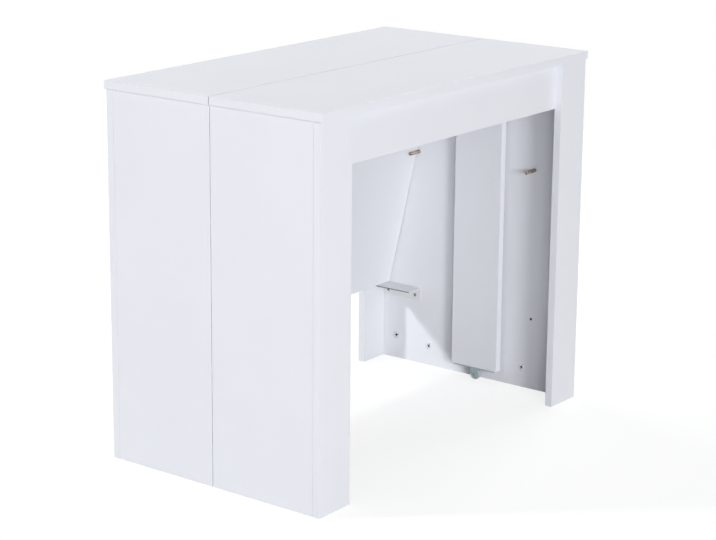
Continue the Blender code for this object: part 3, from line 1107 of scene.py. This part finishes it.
@dataclass
class TableHalf(SubAssembly):
    """One half of the table: its boards, cam locks, studs and dowel pins.

    Attributes:
        half: Which half it is.
        cam_rises: Heights of the strip's upper cam locks above its low one.
        top_cam_drop: How far the cam locks under the top are below it.
        top_cam_reaches: How far those are from the middle of the table.
        apron_cam_inset: How far the apron's cam locks are from its ends.
        fit: Gap between a fastener and its hole.
    """

    half: Half
    cam_rises: tuple[float, ...] = (0.310, 0.585)
    top_cam_drop: float = 0.036
    top_cam_reaches: tuple[float, ...] = (0.055, 0.165)
    apron_cam_inset: float = 0.034
    fit: float = 0.0003

    def panel_face(self, side: Side) -> float:
        """The X of a side panel's inner face."""
        low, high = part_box(f"{self.half.word}_{side.word}_side")
        return low.x if side is Side.RIGHT else high.x

    def panel_cams(self, side: Side) -> list[CamSpot]:
        """Where a side panel has its cam locks.

        Args:
            side: Which panel.

        Returns:
            The two low ones, which are in the frame, those up the leg strip and those under the top.
        """
        face = self.panel_face(side)
        prefix = f"{self.half.word}_{side.word}"
        spots = []
        for kind in (CamKind.STRIP, CamKind.FOOT):
            name = f"{prefix}_{kind.name.lower()}"
            middle = node_centre(f"{name}_cam")
            mouth = Vector((face, middle.y, middle.z))
            spots.append(CamSpot(name, kind, mouth, side.inwards, (f"{name}_cam",)))
        low = spots[0]
        for number, rise in enumerate(self.cam_rises, start=2):
            spots.append(CamSpot(f"{low.name}_{number}", low.kind, low.mouth + UP * rise, side.inwards))
        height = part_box(f"{self.half.word}_top")[0].z - self.top_cam_drop
        for number, reach in enumerate(self.top_cam_reaches, start=1):
            mouth = Vector((face, self.half.value * reach, height))
            spots.append(CamSpot(f"{prefix}_top_{number}", CamKind.TOP, mouth, side.inwards))
        return spots

    def apron_cams(self) -> list[CamSpot]:
        """Where the apron has its cam locks, on its inner face.

        Returns:
            One at each end.
        """
        low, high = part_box(f"{self.half.word}_apron")
        face = high.y if self.half is Half.NEAR else low.y
        spots = []
        for side in Side:
            mouth = Vector((side.value * (high.x - self.apron_cam_inset), face, (low.z + high.z) / 2))
            name = f"{self.half.word}_apron_{side.word}"
            spots.append(CamSpot(name, CamKind.STRIP, mouth, -self.half.outwards))
        return spots

    def panel_holes(self, side: Side) -> list[Hole]:
        """What is drilled into a side panel's inner face.

        Args:
            side: Which panel.

        Returns:
            The cam pockets, the pin's hole and the bracket's screw holes.
        """
        outwards = -side.inwards
        cam_size = node_size(f"{self.half.word}_{side.word}_strip_cam")
        pocket = cam_size.z / 2 + self.fit
        depth = cam_size.x + self.fit
        holes = [Hole(cam.mouth, outwards, pocket, depth) for cam in self.panel_cams(side)]
        face = self.panel_face(side)
        pin = f"{self.half.word}_{side.word}_dowel"
        pin_middle = node_centre(pin)
        pin_root = abs(outer_x(pin, side) - face)
        mouth = Vector((face, pin_middle.y, pin_middle.z))
        holes.append(Hole(mouth, outwards, node_size(pin).z / 2 + self.fit, pin_root + self.fit))
        for end in LeafRack.SCREW_ENDS:
            middle = node_centre(f"{side.word}_leaf_bracket_{end}_screw")
            mouth = Vector((face, self.half.value * middle.y, middle.z))
            holes.append(Hole(mouth, outwards, LeafRack.PILOT_RADIUS, LeafRack.PILOT_DEPTH))
        return holes

    def add_board(self, name: str, face: Axis, holes: Sequence[Hole] = ()) -> None:
        """Makes one of the half's boards, with the axis across it and what is drilled into it."""
        FacedBoard(f"{self.half.word}_{name}", self.half.body, face, self.finishes, holes).build()

    def add_boards(self) -> None:
        """Makes the half's six boards."""
        self.add_board("top", Axis.Z)
        pocket = CamLock.radius + self.fit
        apron_holes = [
            Hole(cam.mouth, self.half.outwards, pocket, CamLock.depth) for cam in self.apron_cams()
        ]
        self.add_board("apron", Axis.Y, apron_holes)
        for side in Side:
            self.add_board(f"{side.word}_side", Axis.X, self.panel_holes(side))
            self.add_board(f"{side.word}_leg_strip", Axis.Y)

    def add_cams(self) -> None:
        """Puts the half's cam locks in."""
        panels = [cam for side in Side for cam in self.panel_cams(side)]
        for cam in panels + self.apron_cams():
            place = facing(cam.mouth, cam.looks, math.radians(cam.kind.value))
            lock = link(f"{cam.name}_cam_lock", self.hardware.cam, place)
            hand_over(lock, self.half.body, cam.nodes)

    def add_pins(self) -> None:
        """Puts the half's two dowel pins in and finishes its studs."""
        for side in Side:
            node = f"{self.half.word}_{side.word}_dowel"
            size = node_size(node)
            pin = link(f"{node}_pin", FlutedPin(size.z / 2, size.x).mesh())
            spin = Matrix.Rotation(side.value * -math.pi / 2, 4, "Y")
            pin.data.transform(Matrix.Translation(node_centre(node)) @ spin)
            paint(pin, self.finishes.beech)
            flatten_shading(pin)
            hand_over(pin, self.half.body, [node])
            keep_node(f"{self.half.word}_{side.word}_strip_stud", self.finishes.plate)

    def build(self) -> None:
        """Makes the whole half."""
        self.add_boards()
        self.add_cams()
        self.add_pins()


@dataclass
class RunnerStack(SubAssembly):
    """The telescopic runners of one side, and the screws that hold the outer two to the tops.

    Attributes:
        side: Which side it is.
        screw_reaches: How far the screws are from the middle of the table.
        screw_inset: How far they are from the flange's edge.
        screw_turn: How much further each next screw is turned, in radians.
        flange_sheet: Thickness of the flange.
    """

    side: Side
    screw_reaches: tuple[float, ...] = (0.045, 0.115, 0.185)
    screw_inset: float = 0.010
    screw_turn: float = 1.0
    flange_sheet: float = 0.003

    STAGES = (
        "near_runner",
        "near_outer_stage",
        "near_inner_stage",
        "centre_runner",
        "far_inner_stage",
        "far_outer_stage",
        "far_runner",
    )

    def flange_middle(self, half: Half) -> float:
        """The X of the middle of a fixed runner's flange.

        Args:
            half: The half that the runner is fixed to.

        Returns:
            The X.
        """
        reaches = [abs(corner.x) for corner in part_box(f"{self.side.word}_{half.word}_runner")]
        if half is Half.NEAR:
            return self.side.value * (max(reaches) - self.screw_inset)
        return self.side.value * (min(reaches) + self.screw_inset)

    def build(self) -> None:
        """Finishes the runners and puts their screws in."""
        for stage in self.STAGES:
            keep_node(f"{self.side.word}_{stage}", self.finishes.extruded)
        for half in Half:
            runner = f"{self.side.word}_{half.word}_runner"
            x = self.flange_middle(half)
            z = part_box(runner)[1].z - self.flange_sheet
            for number, reach in enumerate(self.screw_reaches, start=1):
                seat = Vector((x, half.value * reach, z))
                place = facing(seat, -UP, number * self.screw_turn)
                screw = link(f"{runner}_screw_{number}", self.hardware.screw, place)
                hand_over(screw, half.body)


@dataclass
class Castor:
    """The castor under a centre leg: a moulded fork, an axle and a dished wheel.

    Attributes:
        side: Which side it is.
        finishes: The table's materials.
        sheet: Thickness of the fork's crown.
        side_gap: Gap between the fork and the wheel.
        stem_radius: Radius of the fork's stem.
        edge: Rounding of the fork's edges.
        plate: Thickness of the plate that the fork has under the leg.
        plate_inset: How far that plate is from the leg's faces.
        plate_end_inset: How far it is from the leg's edges.
        bore: Radius of the wheel's bore.
        hub_radius: Radius of the wheel's hub.
        hub_drop: How far the hub's end lies below the rim's.
        dish: How deep the wheel's sides are dished.
        draft: How far the dish's walls lean out.
        rim: Width of the wheel's rim.
        chamfer: Chamfer of the hub and of the rim's inner edge.
    """

    side: Side
    finishes: Finishes
    sheet: float = 0.0016
    side_gap: float = 0.0006
    stem_radius: float = 0.0040
    edge: float = 0.0005
    plate: float = 0.0030
    plate_inset: float = 0.0012
    plate_end_inset: float = 0.006
    bore: float = 0.0018
    hub_radius: float = 0.0045
    hub_drop: float = 0.0003
    dish: float = 0.0011
    draft: float = 0.0006
    rim: float = 0.0028
    chamfer: float = 0.0004

    FACETS = 56
    # The fork's round foot: its first and last angles in degrees, and its steps
    FOOT_ARC = (205, 335, 10)
    # How far above the axle the fork starts to narrow, in radii of its foot
    CHEEK_RISE = 2
    # Points of the tread's rounded edge: in from the tread, and in from the wheel's side
    SHOULDER = ((0.0016, 0.0), (0.0006, 0.0007), (0.0001, 0.0020))
    TREAD_SLOT = 1

    def add_fork(self) -> None:
        """Makes the fork, with its stem, its plate under the leg and a gap for the wheel."""
        node = f"{self.side.word}_castor_fork"
        low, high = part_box(node)
        axle = node_centre(f"{self.side.word}_castor_axle")
        wheel = node_size(f"{self.side.word}_castor_wheel")
        leg = f"{self.side.word}_centre_leg"
        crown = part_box(leg)[0].z - SEAT
        half_length = (high.y - low.y) / 2
        foot = axle.z - low.z
        cheek = axle.z + self.CHEEK_RISE * foot
        outline = [
            (axle.y - half_length, crown),
            (axle.y - half_length, cheek),
            *arc((axle.y, axle.z), foot, *self.FOOT_ARC),
            (axle.y + half_length, cheek),
            (axle.y + half_length, crown),
        ]
        fork = link(f"{node}_moulded", prism("fork", outline, Axis.X, high.x - low.x))
        fork.data.transform(Matrix.Translation((axle.x, 0.0, 0.0)))
        reach = node_size(leg) / 2 - Vector((self.plate_inset, self.plate_end_inset, 0.0))
        reach.z = self.plate / 2
        middle = node_centre(leg)
        middle.z = crown - self.plate / 2
        cut(fork, block(reach, middle), joined=True)
        gap = Vector((wheel.x / 2 + self.side_gap, 2 * half_length, crown - self.sheet - axle.z))
        cut(fork, block(gap, axle))
        root = crown - self.sheet / 2
        stem_profile = [(0.0, high.z), (self.stem_radius, high.z), (self.stem_radius, root), (0.0, root)]
        stem = link("stem", turned("stem", stem_profile, self.FACETS))
        stem.data.transform(Matrix.Translation((axle.x, axle.y, 0.0)))
        cut(fork, stem, joined=True)
        soften(fork, self.edge)
        paint(fork, self.finishes.nylon)
        flatten_shading(fork)
        hand_over(fork, CENTRE_BODY, [node])

    def add_wheel(self) -> None:
        """Makes the wheel, dished on both sides, with a crowned tread."""
        node = f"{self.side.word}_castor_wheel"
        size = node_size(node)
        radius = size.z / 2
        half = size.x / 2
        hub_end = half - self.hub_drop
        web = half - self.dish
        inner_rim = radius - self.rim
        upper = [
            (self.bore, hub_end),
            (self.hub_radius - self.chamfer, hub_end),
            (self.hub_radius, hub_end - self.chamfer),
            (self.hub_radius + self.draft, web),
            (inner_rim - self.draft, web),
            (inner_rim, half - self.chamfer),
            (inner_rim + self.chamfer, half),
            *[(radius - inset, half - drop) for inset, drop in self.SHOULDER],
        ]
        lower = [(reach, -height) for reach, height in reversed(upper)]
        profile = [*upper, (radius, 0.0), *lower, upper[0]]
        middle = node_centre(node)
        wheel = link(f"{node}_moulded", turned("wheel", profile, self.FACETS))
        wheel.data.transform(facing(middle, Side.LEFT.inwards))
        paint(wheel, self.finishes.nylon, self.finishes.tread)
        for face in wheel.data.polygons:
            if (face.center - middle).yz.length > inner_rim:
                face.material_index = self.TREAD_SLOT
        hand_over(wheel, f"{self.side.word}_wheel", [node])

    def build(self) -> None:
        """Makes the whole castor."""
        self.add_fork()
        self.add_wheel()
        keep_node(f"{self.side.word}_castor_axle", self.finishes.plate)


@dataclass
class FoldedAngle:
    """Sheet metal folded at a right angle, drawn along Y.

    Attributes:
        sheet: Thickness of the sheet.
        inner_round: Inside radius of the fold.
        edge: Rounding of the sheet's cut edges.
    """

    sheet: float = 0.0025
    inner_round: float = 0.0012
    edge: float = 0.0003

    FOLD_STEPS = 6
    MATCH = 0.001

    def outline(self, corner: tuple[float, float], wide: float, tall: float) -> Points:
        """The angle's section, with its fold at a corner.

        Args:
            corner: The outside (x, z) of the fold, at the top.
            wide: Reach of the flat leg along X, with its sign.
            tall: Reach of the upright leg down Z.

        Returns:
            The section's points.
        """
        sign = math.copysign(1.0, wide)
        x, z = corner
        bend = self.inner_round + self.sheet
        middle = (x + sign * bend, z - bend)
        outer = arc((0.0, 0.0), bend, 180, 90, self.FOLD_STEPS)
        inner = arc((0.0, 0.0), self.inner_round, 90, 180, self.FOLD_STEPS)
        return [
            (x, z - tall),
            *[(middle[0] + sign * px, middle[1] + pz) for px, pz in outer],
            (x + wide, z),
            (x + wide, z - self.sheet),
            *[(middle[0] + sign * px, middle[1] + pz) for px, pz in inner],
            (x + sign * self.sheet, z - tall),
        ]

    def draw(self, node: str, side: Side) -> Piece:
        """Draws the angle that stands for a frame node.

        Args:
            node: The frame node, which has its fold on the outer side.
            side: The side of the table that it is on.

        Returns:
            The angle, with nothing else done to it.
        """
        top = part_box(node)[1].z
        size = node_size(node)
        outline = self.outline((outer_x(node, side), top), -side.value * size.x, size.z)
        piece = link(f"{node}_angle", prism("angle", outline, Axis.Y, size.y))
        piece.data.transform(Matrix.Translation((0.0, node_centre(node).y, 0.0)))
        return piece

    def mark_cuts(self, piece: Piece, slot: int) -> None:
        """Gives the long edges where the sheet was cut a material of their own, which on the brackets is
        painted shade.

        Args:
            piece: The drawn angle, before anything else is done to it.
            slot: The material index that those edges take.
        """
        for face in piece.data.polygons:
            corners = [piece.data.vertices[index].co for index in face.vertices]
            sides = [(end - start).length for start, end in zip(corners, corners[1:] + corners[:1])]
            narrow = any(math.isclose(side, self.sheet, rel_tol=self.MATCH) for side in sides)
            if narrow and len(corners) == 4:
                face.material_index = slot


@dataclass
class CentreLeg(SubAssembly):
    """A centre leg: its board, the angle that hangs it from its runner, and the screws.

    Attributes:
        side: Which side it is.
        screw_inset: How far the screws are from the angle's ends.
        screw_turn: How far the screws' recesses are turned for each metre along the table, in radians.
    """

    side: Side
    screw_inset: float = 0.013
    screw_turn: float = 90.0

    def add_hanger(self) -> None:
        """Makes the folded hanger and puts its four screws in."""
        node = f"{self.side.word}_leg_hanger"
        angle = FoldedAngle()
        hanger = angle.draw(node, self.side)
        soften(hanger, angle.edge)
        paint(hanger, self.finishes.plate)
        flatten_shading(hanger)
        hand_over(hanger, CENTRE_BODY, [node])
        low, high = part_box(node)
        inner_face = outer_x(node, self.side) - self.side.value * angle.sheet
        runner = node_centre(f"{self.side.word}_centre_runner")
        for end, y in (("near", low.y + self.screw_inset), ("far", high.y - self.screw_inset)):
            upright = Vector((inner_face, y, low.z + self.screw_inset))
            flat = Vector((runner.x, y, high.z - angle.sheet))
            for kind, seat, out in (("leg", upright, self.side.inwards), ("runner", flat, -UP)):
                name = f"{self.side.word}_hanger_{kind}_{end}_screw"
                screw = link(name, self.hardware.screw, facing(seat, out, y * self.screw_turn))
                hand_over(screw, CENTRE_BODY)

    def stem_hole(self) -> Hole:
        """The hole for the castor's stem, in the leg's foot.

        Returns:
            The hole.
        """
        stem_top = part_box(f"{self.side.word}_castor_fork")[1].z
        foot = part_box(f"{self.side.word}_centre_leg")[0].z
        axle = node_centre(f"{self.side.word}_castor_axle")
        mouth = Vector((axle.x, axle.y, foot))
        return Hole(mouth, UP, Castor.stem_radius + SEAT, stem_top - foot + SEAT)

    def build(self) -> None:
        """Makes the whole leg."""
        leg = f"{self.side.word}_centre_leg"
        FacedBoard(leg, CENTRE_BODY, Axis.X, self.finishes, [self.stem_hole()]).build()
        self.add_hanger()
        Castor(self.side, self.finishes).build()


@dataclass
class LeafRack(SubAssembly):
    """The rack in the far half: two brackets with their screws, and the leaf that leans in it.

    Attributes:
        screw_turn: How far the screws' recesses are turned, before a little for where each is.
    """

    screw_turn: float = math.radians(30)

    PILOT_RADIUS = 0.0028
    PILOT_DEPTH = 0.0105
    SCREW_ENDS = ("front", "rear")
    BRACKET = FoldedAngle(inner_round=0.0030, edge=0.0002)
    COAT_SLOT = 0
    SLIT_SLOT = 1

    def add_bracket(self, side: Side) -> None:
        """Makes one folded bracket and puts its screws in.

        Args:
            side: Which side it is on.
        """
        node = f"{side.word}_leaf_bracket"
        angle = self.BRACKET
        bracket = angle.draw(node, side)
        # Its cut edges take dark steel as painted shade from under the shelf
        paint(bracket, self.finishes.coat, self.finishes.slit)
        angle.mark_cuts(bracket, self.SLIT_SLOT)
        inner_face = outer_x(node, side) - side.value * angle.sheet
        holes = []
        for end in self.SCREW_ENDS:
            screw_node = f"{node}_{end}_screw"
            middle = node_centre(screw_node)
            seat = Vector((inner_face, middle.y, middle.z))
            holes.append(Hole(seat, -side.inwards, self.PILOT_RADIUS, angle.sheet + SEAT))
            place = facing(seat, side.inwards, self.screw_turn + middle.y)
            screw = link(f"{screw_node}_head", self.hardware.screw, place)
            hand_over(screw, Half.FAR.body, [screw_node])
        cut(bracket, drills(holes, self.COAT_SLOT))
        soften(bracket, angle.edge)
        flatten_shading(bracket)
        hand_over(bracket, Half.FAR.body, [node])

    def add_leaf(self) -> None:
        """Makes the stored leaf, leaning as its lift joint runs."""
        joint = next(joint for joint in frame["joints"] if joint["child"] == "leaf")
        lean = math.atan2(-joint["axis"][1], joint["axis"][2])
        across = node_size("stored_leaf")
        sine, cosine = math.sin(lean), math.cos(lean)
        depth = (across.z * cosine - across.y * sine) / (cosine**2 - sine**2)
        thickness = (across.y - depth * sine) / cosine
        board = FacedBoard("stored_leaf", "leaf", Axis.Y, self.finishes)
        slab = board.slab(Vector((across.x, thickness, depth)), Vector())
        place = Matrix.Translation(node_centre("stored_leaf"))
        slab.transform(place @ Matrix.Rotation(lean, 4, "X"))
        board.dress(slab)

    def build(self) -> None:
        """Makes the whole rack."""
        for side in Side:
            self.add_bracket(side)
        self.add_leaf()


@dataclass(frozen=True)
class Softbox:
    """A rectangular lamp that points at the table.

    Attributes:
        name: Its name.
        heading: Where it stands round the table, in degrees from the front towards the left.
        elevation: How high it stands, in degrees above the horizon.
        power: Its power in watts.
        size: Its width and height.
        distance: How far it is from its aim.
        aim: What it points at.
    """

    name: str
    heading: float
    elevation: float
    power: float
    size: tuple[float, float]
    distance: float = 9.0
    aim: tuple[float, float, float] = (0.0, 0.0, 0.35)

    def build(self, colour: Colour) -> None:
        """Sets the lamp up.

        Args:
            colour: Its colour.
        """
        lamp = bpy.data.lights.new(self.name, "AREA")
        lamp.shape = "RECTANGLE"
        lamp.size, lamp.size_y = self.size
        lamp.energy = self.power
        lamp.color = colour
        holder = bpy.data.objects.new(self.name, lamp)
        bpy.context.scene.collection.objects.link(holder)
        heading = math.radians(self.heading)
        elevation = math.radians(self.elevation)
        level = math.cos(elevation)
        towards = Vector((-math.sin(heading) * level, -math.cos(heading) * level, math.sin(elevation)))
        holder.location = Vector(self.aim) + towards * self.distance
        holder.rotation_euler = towards.to_track_quat("Z", "Y").to_euler()


@dataclass
class Studio:
    """The floor, the light and the camera.

    Attributes:
        cool: Colour of all the light, a little blue.
        sky_strength: How strong the light from all round is.
        floor_bounce: How much of its light the floor sends back to the table.
        floor_shade: How much of the floor's white comes and goes with the light, to the camera.
        floor_lift: How much of it is always there.
        floor_roughness: How dull the floor is.
        floor_size: Side of the floor.
        floor_drop: How far it lies below the table's feet.
        camera_place: Where the camera stands.
        camera_yaw: Its heading from +Y towards +X, in radians.
        camera_pitch: Its tilt above the horizon, in radians.
        camera_roll: Its turn about its own view, in radians.
        focal_pixels: Its focal length in the photograph's pixels.
        axis_rise: How far its axis meets the picture above the middle, in the same pixels.
    """

    cool: Colour = (0.972, 0.982, 1.0)
    sky_strength: float = 0.02
    floor_bounce: float = 0.50
    floor_shade: float = 0.30
    floor_lift: float = 0.76
    floor_roughness: float = 0.9
    floor_size: float = 6.0
    floor_drop: float = 0.0002
    camera_place: tuple[float, float, float] = (-3.229, -2.452, 1.446)
    camera_yaw: float = 0.9223
    camera_pitch: float = -0.2454
    camera_roll: float = 0.0087
    focal_pixels: float = 2055.0
    axis_rise: float = 45.0

    SENSOR = 36.0
    PHOTO_WIDTH = 716
    LAMPS = (
        Softbox("main", 31.0, 9.0, 340.0, (1.8, 1.8)),
        Softbox("front_left", 48.0, 9.0, 92.0, (1.9, 1.9)),
        Softbox("wide", 36.0, 12.0, 255.0, (8.0, 3.0)),
        Softbox("left", 75.0, 35.0, 5.5, (1.5, 1.5), distance=3.2),
        Softbox("front_right", -42.0, 12.0, 58.0, (3.0, 3.0)),
        Softbox("right", -90.0, 32.0, 435.0, (5.0, 5.0)),
        Softbox("overhead", 0.0, 88.0, 62.0, (4.0, 4.0)),
        Softbox("rear", 190.0, 32.0, 310.0, (5.0, 5.0)),
        Softbox("rear_left", 130.0, 29.0, 262.0, (0.6, 0.6), distance=8.0, aim=(0.43, 0.13, 0.06)),
    )

    def add_floor(self) -> None:
        """Lays the floor, which is white to the camera and keeps the table's shadow."""
        work = bmesh.new()
        bmesh.ops.create_grid(work, x_segments=1, y_segments=1, size=self.floor_size / 2)
        bmesh.ops.translate(work, vec=-UP * self.floor_drop, verts=work.verts)
        floor = link("floor", mesh_of("floor", work))
        graph = Graph("floor")
        graph.set(Roughness=self.floor_roughness, Specular_IOR_Level=0.0, Emission_Color=WHITE)
        seen = self.seen_rays(graph.material.node_tree)
        greys = ((0.0, (self.floor_bounce,) * 3), (1.0, (self.floor_shade,) * 3))
        graph.feed("Base Color", graph.ramp(seen, greys))
        lift = graph.nodes.new("ShaderNodeMath")
        lift.operation = "MULTIPLY"
        lift.inputs[1].default_value = self.floor_lift
        graph.links.new(seen, lift.inputs[0])
        graph.feed("Emission Strength", lift.outputs["Value"])
        paint(floor, graph.material)

    @staticmethod
    def seen_rays(tree: bpy.types.NodeTree) -> Socket:
        """A value that is 1 for what the camera sees, straight on, in gloss or through glass.

        Args:
            tree: The node tree to add it to.

        Returns:
            The value output.
        """
        path = tree.nodes.new("ShaderNodeLightPath")
        seen = path.outputs["Is Camera Ray"]
        for kind in ("Is Glossy Ray", "Is Transmission Ray"):
            either = tree.nodes.new("ShaderNodeMath")
            either.operation = "MAXIMUM"
            tree.links.new(seen, either.inputs[0])
            tree.links.new(path.outputs[kind], either.inputs[1])
            seen = either.outputs["Value"]
        return seen

    def add_sky(self) -> None:
        """Lights the room evenly, with a white backdrop for the camera."""
        world = bpy.data.worlds.new("studio")
        bpy.context.scene.world = world
        world.use_nodes = True
        tree = world.node_tree
        light = tree.nodes["Background"]
        light.inputs["Color"].default_value = (*self.cool, 1.0)
        light.inputs["Strength"].default_value = self.sky_strength
        backdrop = tree.nodes.new("ShaderNodeBackground")
        backdrop.inputs["Color"].default_value = WHITE
        mix = tree.nodes.new("ShaderNodeMixShader")
        tree.links.new(self.seen_rays(tree), mix.inputs["Fac"])
        tree.links.new(light.outputs["Background"], mix.inputs[1])
        tree.links.new(backdrop.outputs["Background"], mix.inputs[2])
        tree.links.new(mix.outputs["Shader"], tree.nodes["World Output"].inputs["Surface"])

    def add_camera(self) -> None:
        """Sets the camera where the photograph was taken from."""
        camera = bpy.data.cameras.new("camera")
        camera.sensor_width = self.SENSOR
        camera.lens = self.SENSOR * self.focal_pixels / self.PHOTO_WIDTH
        camera.shift_y = -self.axis_rise / self.PHOTO_WIDTH
        holder = bpy.data.objects.new("camera", camera)
        bpy.context.scene.collection.objects.link(holder)
        heading = Matrix.Rotation(-self.camera_yaw, 4, "Z")
        tilt = Matrix.Rotation(math.pi / 2 + self.camera_pitch, 4, "X")
        roll = Matrix.Rotation(self.camera_roll, 4, "Z")
        holder.matrix_world = Matrix.Translation(self.camera_place) @ heading @ tilt @ roll
        bpy.context.scene.camera = holder

    def build(self) -> None:
        """Sets up the whole studio."""
        self.add_floor()
        self.add_sky()
        for lamp in self.LAMPS:
            lamp.build(self.cool)
        self.add_camera()
        bpy.context.scene.view_settings.view_transform = "Standard"


def main() -> None:
    """Dresses the table and sets up the studio."""
    logging.basicConfig(level=logging.INFO, format="%(message)s")
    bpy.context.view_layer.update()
    finishes = Finishes()
    hardware = Hardware(finishes)
    for half in Half:
        TableHalf(finishes, hardware, half).build()
    for side in Side:
        RunnerStack(finishes, hardware, side).build()
        CentreLeg(finishes, hardware, side).build()
    LeafRack(finishes, hardware).build()
    Studio().build()


if __name__ == "__main__":
    main()
